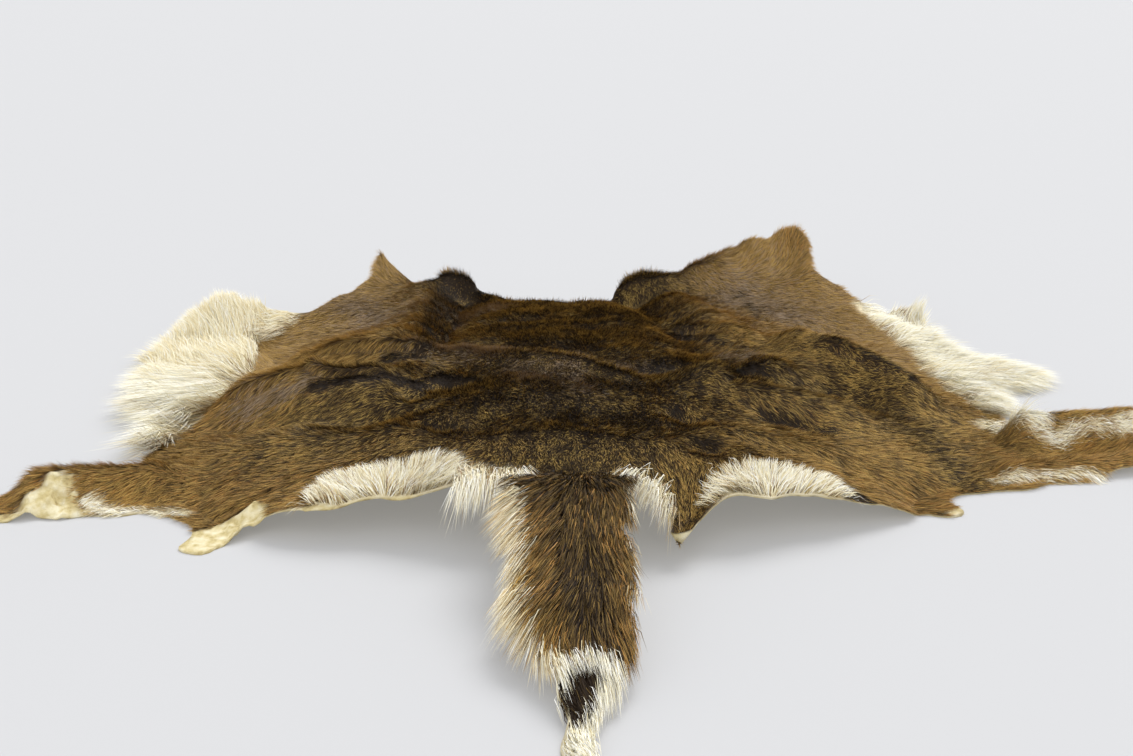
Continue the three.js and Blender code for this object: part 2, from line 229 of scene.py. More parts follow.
def underside(x, y):                    # height of the flesh side over the floor
    left, right, crest, edge = section(trunkRows, y, "left", "right", "crest", "edge")
    reach = np.clip(np.abs(x) / np.maximum(form["domeReach"], np.where(x < 0, -left, right)), 0, 1)
    dome = mix(edge, crest, (1 - reach * reach) ** form["domePower"])
    tail = onTail(x, y)
    height = mix(dome, section(tailRows, y, "crest")[0], tail)
    for limb in limbRows:
        share = alongLine(limb, x, y)[0]
        height = height + limb["lift"] * share * share * smooth(-30, 24, limbDepth(limb, x, y))
    for fold in foldRows + creaseRows:
        height = height + fold["height"] * bump(fold, x, y)
    for line in lipRows:
        height = height + lip(line, x, y)
    height = height + form["swell"] * wander(x, y, form["swellWave"]) * (1 - tail)
    height = height + (form["ripple"] * cloud(x, 0.5 * y, 30, 5)
                       + form["fineRipple"] * cloud(x, 0.6 * y, 13, 6)) * (1 - tail)
    crumple = 1 - 2 * np.abs(cloud(x, y, 17, 7)) + 0.6 * cloud(x, y, 9, 8)
    height = height + form["crumple"] * bareSkin(x, y) * crumple * smooth(-270, -300, x)
    return np.maximum(0, height - form["press"])


# Colour zones: capsules round a line, with ragged borders
whiteRows = rowsOf(("name", "from", "to", "radius", "soft"), [
    ("left belly", (-482, 470), (-500, 752), 84),
    ("left groin", (-504, 296), (-464, 430), 52),
    ("left armpit", (-468, 744), (-404, 800), 38),
    ("right belly", (548, 500), (516, 752), 76),
    ("right ribs", (500, 740), (430, 808), 26),
    ("right rib tuft", (492, 780), (530, 830), 26),
    ("left rump", (-208, 64), (-116, 64), 25, 17),
    ("left rump lock", (-92, 62), (-74, 54), 13),
    ("left of tail", (-56, 44), (-44, 8), 14),
    ("right rump", (158, 58), (244, 74), 25, 17),
    ("right flap rim", (132, 34), (154, 50), 5),
    ("right of tail", (66, 52), (80, 56), 12),
    ("right shank valley", (516, 318), (668, 304), 5),
    ("right groin", (470, 404), (512, 330), 9),
    ("right shank hem", (436, 222), (566, 226), 5),
    ("left thigh hem", (-462, 138), (-372, 122), 8),
])
bareRows = rowsOf(("name", "from", "to", "radius"), [
    ("left shank face", (-540, 114), (-470, 122), 10),
    ("left shank middle", (-524, 130), (-484, 136), 8),
    ("left shank peak", (-508, 143), (-492, 148), 7),
    ("left shank tip", (-500, 154), (-496, 160), 3),
    ("left shank hem", (-540, 110), (-596, 104), 5),
    ("left thigh corner", (-344, 66), (-302, 76), 25),
    ("left thigh tip", (-356, 40), (-340, 44), 18),
    ("left rump edge", (-286, 56), (-146, 46), 9),
    ("right thigh tip", (372, 132), (384, 140), 6),
])
darkRows = rowsOf(("name", "from", "to", "width"), [
    ("spine", (4, 60), (-6, 560), 104),
    ("withers", (-6, 560), (-20, 830), 104),
    ("left loin", (-236, 262), (-60, 250), 100),
    ("right loin", (60, 300), (330, 376), 100),
    ("neck", (-150, 872), (100, 872), 46),
    ("right neck edge", (112, 880), (120, 640), 34),
    ("right thigh streak", (398, 330), (400, 200), 20),
])
# painted shade: soot-dark hair, and dark skin under it, where shade falls in the gaps and pits between the
# folds and under their lips
pitShadeRows = rowsOf(("name", "from", "to", "radius", "share"), [
    ("left flank gap", (-278, 352), (-196, 294), 9, 1.0),
    ("left flank gap end", (-182, 300), (-158, 296), 11, 1.0),
    ("left spine pit", (-138, 316), (-112, 296), 11, 1.0),
    ("left loin crease", (-188, 240), (-142, 216), 6, 0.75),
    ("left rump pit", (-142, 170), (-116, 160), 8, 1.0),
    ("left shoulder gap", (-220, 412), (-158, 396), 9, 0.8),
    ("left neck gap", (-158, 430), (-162, 640), 15, 0.42),
    ("left neck edge", (-160, 600), (-170, 850), 17, 0.46),
    ("left withers", (-196, 878), (-120, 880), 17, 0.9),
    ("right back pit", (180, 330), (212, 380), 14, 1.0),
    ("right loin pit", (206, 236), (246, 246), 8, 1.0),
    ("right loin smudge", (236, 240), (272, 246), 11, 0.6),
    ("right rump pit", (112, 210), (122, 196), 8, 1.0),
    ("right tail pit", (120, 130), (140, 122), 6, 1.0),
    ("right spine smudge", (90, 340), (126, 366), 17, 0.7),
    ("right shoulder gap", (134, 600), (208, 486), 12, 0.7),
    ("right mound crest", (292, 474), (350, 446), 8, 0.4),
    ("right mound edge", (350, 440), (392, 414), 5, 0.6),
    ("right mound hollow", (300, 414), (326, 404), 9, 0.55),
    ("right rump tuft", (262, 94), (290, 98), 9, 0.9),
    ("right shoulder scar", (250, 850), (258, 730), 6, 0.4),
])
greyRows = rowsOf(("name", "from", "to", "width"), [
    ("left flank face", (-370, 394), (-296, 364), 11),
    ("left of spine", (-146, 424), (-72, 384), 24),
    ("spine", (-52, 300), (-22, 268), 17),
    ("left withers", (-150, 770), (-104, 744), 22),
    ("right of spine", (34, 330), (72, 342), 17),
    ("back", (2, 290), (14, 236), 12),
    ("right shoulder", (186, 450), (214, 440), 12),
    ("right shoulder blade", (244, 836), (302, 764), 38),
    ("left shoulder blade", (-290, 800), (-240, 720), 28),
])
rustRows = rowsOf(("name", "from", "to", "width"), [
    ("right shank", (470, 262), (668, 274), 36),
    ("left shank", (-430, 196), (-610, 140), 26),
    ("left thigh", (-340, 170), (-240, 100), 36),
    ("left flank", (-400, 400), (-360, 330), 30),
    ("right foreleg tip", (336, 950), (352, 900), 22),
    ("right thigh corner", (330, 130), (396, 176), 22),
])


def capsules(rows, x, y, soft):         # 1 inside, falling to 0 over soft at the border
    inside = np.zeros_like(x)
    for row in rows:
        edge = row.get("soft", soft)
        outside = alongLine(row, x, y)[1] - row["radius"]
        inside = np.maximum(inside, row.get("share", 1.0) * smooth(edge, -edge, outside))
    return inside


def patches(rows, x, y):
    outside = np.ones_like(x)
    for row in rows:
        outside = outside * (1 - bump(row, x, y))
    return 1 - outside


def ragged(x, y, size=1.0):             # places pushed about, so that no border is a clean curve
    return (x + size * (9 * cloud(x, y, 38, 1) + 5 * cloud(x, y, 14, 3)),
            y + size * (9 * cloud(x, y, 38, 2) + 5 * cloud(x, y, 14, 4)))


def bareSkin(x, y):
    return capsules(bareRows, *ragged(x, y, 0.8), 5)


def whiteHair(x, y):
    return capsules(whiteRows, *ragged(x, y, 0.8), 9) * (1 - smooth(0.1, 0.6, onTail(x, y)))


def darkHair(x, y):
    return patches(darkRows, *ragged(x, y))


# Skin: a closed thin sheet on the folds, its rim cut on the outline
skinSheet = {
    "step": 5.0,            # mm between points
    "gridX": (-672, 742), "gridY": (-408, 1010),
    "mapCorner": (-680, -410), "mapSize": 1430,     # what the UV map spans, in mm
    "thickness": 2.2,
    "tailCore": 0.42,       # share of the tail's depth that is skin and wool, under its long hair
    "flatSize": (1.32, 1.36), "flatArea": 0.96,
}


def skinTop(x, y):
    tailX, half, depth = section(tailRows, y, "x", "half", "depth")
    roundness = np.sqrt(np.clip(1 - ((x - tailX) / half) ** 2, 0, 1))
    core = skinSheet["tailCore"] * depth * roundness * smooth(40, -40, y)
    return underside(x, y) + skinSheet["thickness"] + core


def toMetres(x, y, z):
    return np.stack([(x - form["centreX"]) / 1000, (y - form["centreY"]) / 1000, z / 1000], axis=-1)


def planMesh(step):                     # triangles of the outline, cut cleanly at the rim
    xs = np.arange(*skinSheet["gridX"], step)
    ys = np.arange(*skinSheet["gridY"], step)
    gx, gy = [g.ravel() for g in np.meshgrid(xs, ys)]
    depth = planDepth(gx, gy)
    slopeX = (planDepth(gx + 1, gy) - planDepth(gx - 1, gy)) / 2
    slopeY = (planDepth(gx, gy + 1) - planDepth(gx, gy - 1)) / 2
    slope = np.maximum(np.hypot(slopeX, slopeY), 1e-6)
    away = depth / slope
    near = np.abs(away) < 0.34 * step
    gx = np.where(near, gx - away * slopeX / slope, gx)
    gy = np.where(near, gy - away * slopeY / slope, gy)
    depth = np.where(near, 0.0, depth)
    n = len(xs)
    a = (np.arange(len(ys) - 1)[:, None] * n + np.arange(n - 1)[None, :]).ravel()
    tris = np.concatenate([np.stack([a, a + 1, a + n + 1], 1), np.stack([a, a + n + 1, a + n], 1)])
    inside = depth[tris] >= 0
    count = inside.sum(1)
    whole = tris[count == 3]
    points = [np.stack([gx, gy], 1)]
    faces = [whole]
    size = len(gx)
    for have in (1, 2):                 # cells the rim crosses: the odd corner goes first
        part = tris[count == have]
        odd = np.argmax(inside[count == have] == (have == 1), axis=1)
        rows = np.arange(len(part))
        p, q, r = [part[rows, (odd + k) % 3] for k in range(3)]

        def cut(i, j):
            share = (depth[i] / (depth[i] - depth[j]))[:, None]
            return points[0][i] * (1 - share) + points[0][j] * share
        points.append(cut(p, q))
        points.append(cut(p, r))
        m, s = size + rows, size + len(part) + rows
        size += 2 * len(part)
        if have == 1:
            faces.append(np.stack([p, m, s], 1))
        else:
            faces.append(np.stack([m, q, r], 1))
            faces.append(np.stack([m, r, s], 1))
    points, faces = np.concatenate(points), np.concatenate(faces)
    # cells share their cuts: points in the same place become one
    _, first, same = np.unique(np.round(points, 2), axis=0, return_index=True, return_inverse=True)
    faces = same.ravel()[faces]
    points = points[first]
    keep = (faces[:, 0] != faces[:, 1]) & (faces[:, 1] != faces[:, 2]) & (faces[:, 0] != faces[:, 2])
    middle = points[faces].mean(1)
    keep &= planDepth(middle[:, 0], middle[:, 1]) >= 0
    faces = faces[keep]
    used, faces = np.unique(faces, return_inverse=True)
    return points[used], faces.reshape(-1, 3)


def meshFrom(name, places, faces, uvs=None):
    mesh = bpy.data.meshes.new(name)
    mesh.vertices.add(len(places))
    mesh.vertices.foreach_set("co", places.astype(np.float32).ravel())
    mesh.loops.add(faces.size)
    mesh.loops.foreach_set("vertex_index", faces.astype(np.int32).ravel())
    mesh.polygons.add(len(faces))
    mesh.polygons.foreach_set("loop_start", np.arange(0, faces.size, faces.shape[1], dtype=np.int32))
    if uvs is not None:
        mesh.uv_layers.new(name="OFBake").data.foreach_set("uv", uvs.astype(np.float32).ravel())
    mesh.update(calc_edges=True)
    return mesh


def addPiece(name, mesh, material):
    piece = bpy.data.objects.new(name, mesh)
    bpy.context.scene.collection.objects.link(piece)
    mesh.materials.append(material)
    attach(piece, "root")
    return piece


# Hair colours, linear, from root to tip. A hair's key picks its row.
hairRows = rowsOf(("name", "root", "middle", "tip"), [
    ("soot", (0.01, 0.007, 0.005), (0.014, 0.009, 0.006), (0.022, 0.013, 0.007)),
    ("dark brown", (0.02, 0.012, 0.006), (0.056, 0.034, 0.012), (0.1, 0.06, 0.019)),
    ("grizzle", (0.02, 0.012, 0.006), (0.09, 0.056, 0.016), (0.64, 0.42, 0.112)),
    ("mid brown", (0.046, 0.028, 0.01), (0.18, 0.106, 0.03), (0.29, 0.175, 0.05)),
    ("golden brown", (0.076, 0.043, 0.014), (0.36, 0.212, 0.053), (0.56, 0.35, 0.094)),
    ("rust", (0.066, 0.033, 0.01), (0.32, 0.15, 0.034), (0.48, 0.24, 0.056)),
    ("grey tan", (0.1, 0.068, 0.038), (0.29, 0.198, 0.104), (0.41, 0.285, 0.15)),
    ("lilac grey", (0.11, 0.082, 0.062), (0.255, 0.19, 0.138), (0.33, 0.248, 0.18)),
    ("pale tip", (0.06, 0.034, 0.015), (0.36, 0.22, 0.088), (0.88, 0.78, 0.54)),
    ("straw", (0.36, 0.27, 0.12), (0.64, 0.52, 0.26), (0.76, 0.64, 0.37)),
    ("cream", (0.64, 0.55, 0.35), (0.9, 0.83, 0.59), (0.93, 0.88, 0.68)),
    ("white", (0.78, 0.73, 0.6), (0.94, 0.92, 0.83), (0.96, 0.95, 0.89)),
])
hairNames = [row["name"] for row in hairRows]
# how often each hair turns up in each zone
hairMix = {
    "thigh": {"dark brown": 0.05, "grizzle": 0.18, "mid brown": 0.26, "golden brown": 0.44, "rust": 0.07},
    "dark": {"soot": 0.31, "dark brown": 0.34, "grizzle": 0.28, "mid brown": 0.07},
    "shoulder": {"grizzle": 0.14, "mid brown": 0.34, "golden brown": 0.22, "grey tan": 0.30},
    "grey": {"dark brown": 0.12, "mid brown": 0.20, "grey tan": 0.32, "lilac grey": 0.36},
    "rust": {"dark brown": 0.18, "mid brown": 0.36, "golden brown": 0.10, "rust": 0.36},
    # painted shade: near-black hair for the pits and gaps between folds
    "pit": {"soot": 0.86, "dark brown": 0.14},
    "belly": {"straw": 0.07, "cream": 0.48, "white": 0.45},
    "rump": {"grey tan": 0.05, "pale tip": 0.11, "straw": 0.18, "cream": 0.42, "white": 0.24},
    "fan": {"straw": 0.38, "cream": 0.50, "white": 0.12},
    "border": {"mid brown": 0.12, "grey tan": 0.16, "pale tip": 0.24, "straw": 0.20, "cream": 0.28},
    "tailBack": {"soot": 0.38, "dark brown": 0.48, "mid brown": 0.09, "rust": 0.05},
    "tailPart": {"soot": 0.62, "dark brown": 0.30, "mid brown": 0.08},
    "tailSide": {"soot": 0.10, "dark brown": 0.46, "mid brown": 0.24, "rust": 0.20},
    "tailFringe": {"mid brown": 0.10, "golden brown": 0.12, "pale tip": 0.34, "straw": 0.14,
                   "cream": 0.22, "white": 0.08},
    "tailSpot": {"soot": 0.94, "dark brown": 0.06},
}


def mixWeights(zone):
    return np.array([hairMix[zone].get(name, 0.0) for name in hairNames])[:, None]


def pickKeys(weights, rng):             # one hair colour each, by the zone's shares
    ladder = np.cumsum(weights, axis=0)
    pick = (rng.random(weights.shape[1]) * ladder[-1] > ladder).sum(axis=0)
    return (pick + 0.5 + rng.uniform(-0.25, 0.25, len(pick))) / len(hairRows)


def hairGroup():                        # colour of a hair by its key and the share of its length
    group = bpy.data.node_groups.new("hairTint", "ShaderNodeTree")
    group.interface.new_socket("Key", in_out="INPUT", socket_type="NodeSocketFloat")
    group.interface.new_socket("Along", in_out="INPUT", socket_type="NodeSocketFloat")
    group.interface.new_socket("Color", in_out="OUTPUT", socket_type="NodeSocketColor")
    group.interface.new_socket("Roughness", in_out="OUTPUT", socket_type="NodeSocketFloat")
    nodes, links = group.nodes, group.links
    come, go = nodes.new("NodeGroupInput"), nodes.new("NodeGroupOutput")

    def ramp(level):
        node = nodes.new("ShaderNodeValToRGB")
        stops = node.color_ramp.elements
        while len(stops) < len(hairRows):
            stops.new(1.0)
        for i, row in enumerate(hairRows):
            stops[i].position = (i + 0.5) / len(hairRows)
            stops[i].color = (*row[level], 1)
        links.new(come.outputs["Key"], node.inputs["Fac"])
        return node

    def blendStage(first, second, low, high):
        span = nodes.new("ShaderNodeMapRange")
        span.inputs["From Min"].default_value = low
        span.inputs["From Max"].default_value = high
        links.new(come.outputs["Along"], span.inputs["Value"])
        node = nodes.new("ShaderNodeMix")
        node.data_type = "RGBA"
        links.new(span.outputs["Result"], node.inputs[0])
        links.new(first, node.inputs[6])
        links.new(second, node.inputs[7])
        return node.outputs[2]
    lower = blendStage(ramp("root").outputs["Color"], ramp("middle").outputs["Color"], 0.0, 0.3)
    links.new(blendStage(lower, ramp("tip").outputs["Color"], 0.3, 0.65), go.inputs["Color"])
    gloss = nodes.new("ShaderNodeMapRange")
    gloss.inputs["To Min"].default_value = 0.85
    gloss.inputs["To Max"].default_value = 0.58
    links.new(come.outputs["Along"], gloss.inputs["Value"])
    links.new(gloss.outputs["Result"], go.inputs["Roughness"])
    return group


hairTint = hairGroup()


def hairMaterial(name, shine):
    material = bpy.data.materials.new(name)
    material.use_nodes = True
    nodes, links = material.node_tree.nodes, material.node_tree.links
    shader = nodes["Principled BSDF"]
    shader.inputs["Specular IOR Level"].default_value = shine
    place = nodes.new("ShaderNodeUVMap")
    place.uv_map = "OFBake"
    parts = nodes.new("ShaderNodeSeparateXYZ")
    tint = nodes.new("ShaderNodeGroup")
    tint.node_tree = hairTint
    links.new(place.outputs["UV"], parts.inputs["Vector"])
    links.new(parts.outputs["X"], tint.inputs["Key"])
    links.new(parts.outputs["Y"], tint.inputs["Along"])
    links.new(tint.outputs["Color"], shader.inputs["Base Color"])
    links.new(tint.outputs["Roughness"], shader.inputs["Roughness"])
    return material


def skinMaterial():
    material = bpy.data.materials.new("tannedSkin")
    material.use_nodes = True
    nodes, links = material.node_tree.nodes, material.node_tree.links
    shader = nodes["Principled BSDF"]
    shader.inputs["Specular IOR Level"].default_value = 0.3
    where = nodes.new("ShaderNodeTexCoord")

    def noise(scale, detail):
        node = nodes.new("ShaderNodeTexNoise")
        node.inputs["Scale"].default_value = scale
        node.inputs["Detail"].default_value = detail
        links.new(where.outputs["Object"], node.inputs["Vector"])
        return node

    def ramp(source, rows):
        node = nodes.new("ShaderNodeValToRGB")
        stops = node.color_ramp.elements
        while len(stops) < len(rows):
            stops.new(1.0)
        for stop, (position, colour) in zip(stops, rows):
            stop.position = position
            stop.color = (*colour, 1)
        links.new(source, node.inputs["Fac"])
        return node.outputs["Color"]

    def mask(name):
        node = nodes.new("ShaderNodeAttribute")
        node.attribute_name = name
        return node.outputs["Fac"]

    def over(under, colour, share):
        node = nodes.new("ShaderNodeMix")
        node.data_type = "RGBA"
        links.new(share, node.inputs[0])
        links.new(under, node.inputs[6])
        links.new(colour, node.inputs[7])
        return node.outputs[2]
    blotch = noise(26, 6)
    pores = noise(420, 3)
    dark = ramp(blotch.outputs["Fac"], [(0.3, (0.018, 0.011, 0.007)), (0.7, (0.040, 0.025, 0.013))])
    tawny = ramp(blotch.outputs["Fac"], [(0.3, (0.085, 0.050, 0.022)), (0.7, (0.160, 0.095, 0.038))])
    pale = ramp(blotch.outputs["Fac"], [(0.3, (0.60, 0.52, 0.34)), (0.7, (0.78, 0.70, 0.50))])
    # flesh side: cream with blotchy tone of its own, plus painted shade in the wrinkles' crevices, where the
    # ramp runs darkest as the wrinkle bump runs lowest
    crumple = noise(90, 8)
    fleshCreviceShade = ramp(crumple.outputs["Fac"], [(0.30, (0.36, 0.27, 0.12)), (0.42, (0.56, 0.46, 0.22)),
                                          (0.54, (0.68, 0.59, 0.35)), (0.70, (0.78, 0.72, 0.52))])
    colour = over(over(over(dark, tawny, mask("tawny")), pale, mask("pale")), fleshCreviceShade, mask("bare"))
    links.new(colour, shader.inputs["Base Color"])
    rough = nodes.new("ShaderNodeMapRange")
    rough.inputs["To Min"].default_value = 0.55
    rough.inputs["To Max"].default_value = 0.85
    links.new(blotch.outputs["Fac"], rough.inputs["Value"])
    links.new(rough.outputs["Result"], shader.inputs["Roughness"])
    grain = nodes.new("ShaderNodeBump")
    grain.inputs["Strength"].default_value = 0.35
    grain.inputs["Distance"].default_value = 0.0012
    links.new(pores.outputs["Fac"], grain.inputs["Height"])
    wrinkle = nodes.new("ShaderNodeBump")
    wrinkle.inputs["Strength"].default_value = 0.8
    wrinkle.inputs["Distance"].default_value = 0.006
    links.new(crumple.outputs["Fac"], wrinkle.inputs["Height"])
    links.new(grain.outputs["Normal"], wrinkle.inputs["Normal"])
    links.new(wrinkle.outputs["Normal"], shader.inputs["Normal"])
    return material


def buildSkin():
    points, faces = planMesh(skinSheet["step"])
    x, y = points[:, 0], points[:, 1]
    low, high = underside(x, y), skinTop(x, y)
    n = len(points)
    edges = np.concatenate([faces[:, [0, 1]], faces[:, [1, 2]], faces[:, [2, 0]]])
    codes = np.sort(edges, axis=1) @ np.array([n, 1])
    _, first, counts = np.unique(codes, return_index=True, return_counts=True)
    rim = edges[first[counts == 1]]
    wall = np.concatenate([np.stack([rim[:, 0], rim[:, 1], rim[:, 1] + n], 1),
                           np.stack([rim[:, 0], rim[:, 1] + n, rim[:, 0] + n], 1)])
    allFaces = np.concatenate([faces[:, ::-1], faces + n, wall])
    places = np.concatenate([toMetres(x, y, low), toMetres(x, y, high)])
    # the map has the flesh side in its left half and the hair side in its right
    (mapX, mapY), mapSize = skinSheet["mapCorner"], skinSheet["mapSize"]
    spread = np.stack([(x - mapX) / mapSize * 0.49 + 0.005, (y - mapY) / mapSize], 1)
    spread = np.concatenate([spread, spread + [0.5, 0]])
    uvFaces = np.concatenate([faces[:, ::-1], faces + n, np.where(wall >= n, wall - n, wall)])
    mesh = meshFrom("skin", places, allFaces, spread[uvFaces])
    mesh.polygons.foreach_set("use_smooth", np.ones(len(allFaces), bool))
    bare = np.concatenate([np.ones(n), bareSkin(x, y)])
    pale = np.concatenate([np.zeros(n), np.maximum(whiteHair(x, y), smooth(-225, -245, y))])
    # under dark hair the skin is dark too; in the pits and gaps between folds that dark skin is painted shade
    brown = (1 - darkHair(x, y)) * (1 - capsules(pitShadeRows, x, y, 5)) * (1 - onTail(x, y))
    tawny = np.concatenate([np.zeros(n), brown])
    for name, values in (("bare", bare), ("pale", pale), ("tawny", tawny)):
        mesh.attributes.new(name, "FLOAT", "POINT").data.foreach_set("value", values.astype(np.float32))
    piece = addPiece("skin", mesh, skinMaterial())
    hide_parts("hide")
    print("skin:", len(allFaces), "triangles")
    return piece


skin = buildSkin()

# Where the hair doesn't just lie from the spine outwards. Headings in degrees from +x, at the line's two ends
combRows = rowsOf(("name", "from", "to", "width", "headings"), [
    ("left belly", (-490, 800), (-470, 620), 62, (120, 132)),
    ("left belly turn", (-470, 620), (-462, 500), 58, (132, 220)),
    ("left groin", (-462, 440), (-472, 270), 62, (228, 234)),
    ("right belly", (480, 800), (545, 480), 60, (28, -48)),
    ("right shank hem", (440, 214), (560, 222), 14, (-35, -22)),
    ("left thigh hem", (-460, 134), (-370, 118), 12, (205, 235)),
])
# short white hair that stands away from the rump's edge
fanRows = rowsOf(("name", "from", "to", "radius", "centre"), [
    ("left rump", (-208, 62), (-134, 66), 34, (-166, 44)),
    ("right rump", (150, 60), (240, 78), 34, (190, 44)),
])


def flow(x, y, fans=False):             # which way the hair lies, in plan
    outward = np.radians(mix(54, 44, smooth(560, 700, y))) * smooth(20, 320, np.abs(x))
    dx, dy = np.sin(outward) * np.sign(x), -np.cos(outward)
    for limb in limbRows:
        if not limb["comb"]:
            continue
        (ax, ay), (bx, by) = limb["from"], limb["to"]
        length = math.hypot(bx - ax, by - ay)
        share = alongLine(limb, x, y)[0]
        pull = limb["comb"] * smooth(0.05, 0.75, share) * smooth(-14, 22, limbDepth(limb, x, y))
        dx, dy = mix(dx, (bx - ax) / length, pull), mix(dy, (by - ay) / length, pull)
    for row in combRows:
        heading = np.radians(mix(*row["headings"], alongLine(row, x, y)[0]))
        pull = np.minimum(1, 1.5 * bump(row, x, y))
        dx, dy = mix(dx, np.cos(heading), pull), mix(dy, np.sin(heading), pull)
    if fans:
        for row in fanRows:
            pull = capsules([row], x, y, 8)
            fx, fy = x - row["centre"][0], y - row["centre"][1]
            away = np.hypot(fx, fy) + 1e-6
            dx, dy = mix(dx, fx / away, pull), mix(dy, fy / away, pull)
    return dx, dy


def turned(dx, dy, degrees):
    c, s = np.cos(np.radians(degrees)), np.sin(np.radians(degrees))
    length = np.maximum(np.hypot(dx, dy), 1e-6)
    return (dx * c - dy * s) / length, (dx * s + dy * c) / length


def scatterRoots(rng, spacing, box, keep):
    (x0, x1), (y0, y1) = box
    gx, gy = np.meshgrid(np.arange(x0, x1, spacing), np.arange(y0, y1, spacing))
    x = gx.ravel() + rng.random(gx.size) * spacing
    y = gy.ravel() + rng.random(gx.size) * spacing
    depth = planDepth(x, y)
    inside = depth > 0.8
    x, y, depth = x[inside], y[inside], depth[inside]
    chosen = rng.random(len(x)) < keep(x, y, depth)
    return x[chosen], y[chosen], depth[chosen]


def surface(x, y):                      # points on the skin and its normals, in mm
    z = skinTop(x, y)
    sx = np.clip((skinTop(x + 2, y) - z) / 2, -1.6, 1.6)
    sy = np.clip((skinTop(x, y + 2) - z) / 2, -1.6, 1.6)
    normal = np.stack([-sx, -sy, np.ones_like(x)], 1)
    normal /= np.linalg.norm(normal, axis=1)[:, None]
    return np.stack([x, y, z], 1), normal, sx, sy


def unit(v):
    return v / np.maximum(np.linalg.norm(v, axis=1), 1e-9)[:, None]


def strands(rng, x, y, dx, dy, length, lean, width, key, bend=0.0, droop=None, clump=None, jointed=False):
    root, normal, sx, sy = surface(x, y)
    along = unit(np.stack([dx, dy, sx * dx + sy * dy], 1))
    rise, sink = np.radians(lean * (1 + bend)), np.radians(lean * (1 - bend))
    first = along * np.cos(rise)[:, None] + normal * np.sin(rise)[:, None]
    second = along * np.cos(sink)[:, None] + normal * np.sin(sink)[:, None]
    root = root - normal * 0.4
    middle = root + first * (length * 0.5)[:, None]
    tip = middle + second * (length * 0.5)[:, None]
    if droop is not None:
        middle[:, 2] -= 0.3 * droop
        tip[:, 2] -= droop
    if clump is not None:               # hairs of a lock lean together towards their tip
        size, pull = clump
        shiftX, shiftY = size * 0.4 * cloud(x, y, size * 1.7, 31), size * 0.4 * cloud(x, y, size * 1.7, 32)
        cell = np.floor((x + shiftX) / size) * 4096 + np.floor((y + shiftY) / size)
        _, lock = np.unique(cell, return_inverse=True)
        lock = lock.ravel()
        many = np.bincount(lock)
        for points, share in ((middle, 0.35 * pull), (tip, pull)):
            for axis in range(3):
                mean = np.bincount(lock, points[:, axis]) / many
                points[:, axis] = mix(points[:, axis], mean[lock], share)
    for points in (middle, tip):
        points[:, 2] = np.maximum(points[:, 2], 0.5)
    side = unit(np.cross(along, normal))
    roll = np.radians(rng.uniform(-35, 35, len(x)))[:, None]
    across = side * np.cos(roll) + np.cross(first, side) * np.sin(roll)
    half = across * (width / 2)[:, None]
    spread = 0.1 / len(hairRows)
    n = len(x)
    if jointed:
        places = np.stack([root - half, root + half, middle - 0.8 * half, middle + 0.8 * half, tip], 1)
        order = np.array([[0, 1, 3], [0, 3, 2], [2, 3, 4]])
        u = np.stack([key - spread, key + spread, key - spread, key + spread, key], 1)
        v = np.array([0.0, 0.0, 0.5, 0.5, 1.0])
    else:
        places = np.stack([root - half, root + half, tip], 1)
        order = np.array([[0, 1, 2]])
        u = np.stack([key - spread, key + spread, key], 1)
        v = np.array([0.0, 0.0, 1.0])
    corners = places.shape[1]
    faces = (np.arange(n)[:, None, None] * corners + order[None]).reshape(-1, 3)
    uv = np.stack([u, np.broadcast_to(v, u.shape)], -1).reshape(-1, 2)
    places = places.reshape(-1, 3)
    return toMetres(places[:, 0], places[:, 1], places[:, 2]), faces, uv[faces]


def hairPiece(name, parts, material):
    mesh = meshFrom(name, *parts)
    print(name + ":", len(mesh.polygons), "triangles")
    return addPiece(name, mesh, material)


coatHair = hairMaterial("coatHair", 0.20)
paleHair = hairMaterial("paleHair", 0.35)
tailHair = hairMaterial("tailHair", 0.12)

# Short coat of the back, thighs and shoulders
coat = {
    "spacing": 1.22, "length": 15, "backLength": 10.5, "lengthSpread": 0.28,
    "lean": 15, "backLean": 25, "leanSpread": 5, "width": 0.78, "turn": 8,
    "lockSize": 6, "lockTurn": 10, "rumple": 24,
    "shown": 0.55,          # share of a hair's length whose place gives its colour
    "seed": 11,
}
coatPieces = [                          # name, box in plan
    ("coatLeftThigh", ((-680, 0), (-40, 330))),
    ("coatRightThigh", ((0, 740), (-40, 330))),
    ("coatLeftFlank", ((-680, 0), (330, 1000))),
    ("coatRightFlank", ((0, 740), (330, 1000))),
]


def coatWeights(x, y):
    gx, gy = ragged(x, y)
    shoulder = smooth(540, 660, gy) * smooth(90, 190, np.abs(gx))
    weights = mixWeights("thigh") * np.ones((1, len(x)))
    for zone, share in (("shoulder", shoulder), ("rust", 0.8 * patches(rustRows, gx, gy)),
                        ("dark", darkHair(x, y)), ("grey", patches(greyRows, gx, gy)),
                        # painted shade: soot-dark hair in the pits and gaps between folds
                        ("pit", capsules(pitShadeRows, *ragged(x, y, 0.8), 6)),
                        ("border", smooth(0.25, 0.9, whiteHair(x, y)))):
        weights = mix(weights, mixWeights(zone), share)
    return weights


def streak(weights, lightness):         # locks that lie lighter or darker than their neighbours
    tone = np.array([sum(row["tip"]) for row in hairRows])[:, None]
    return weights * np.exp(lightness * np.sign(tone - 0.55) * 0.9)


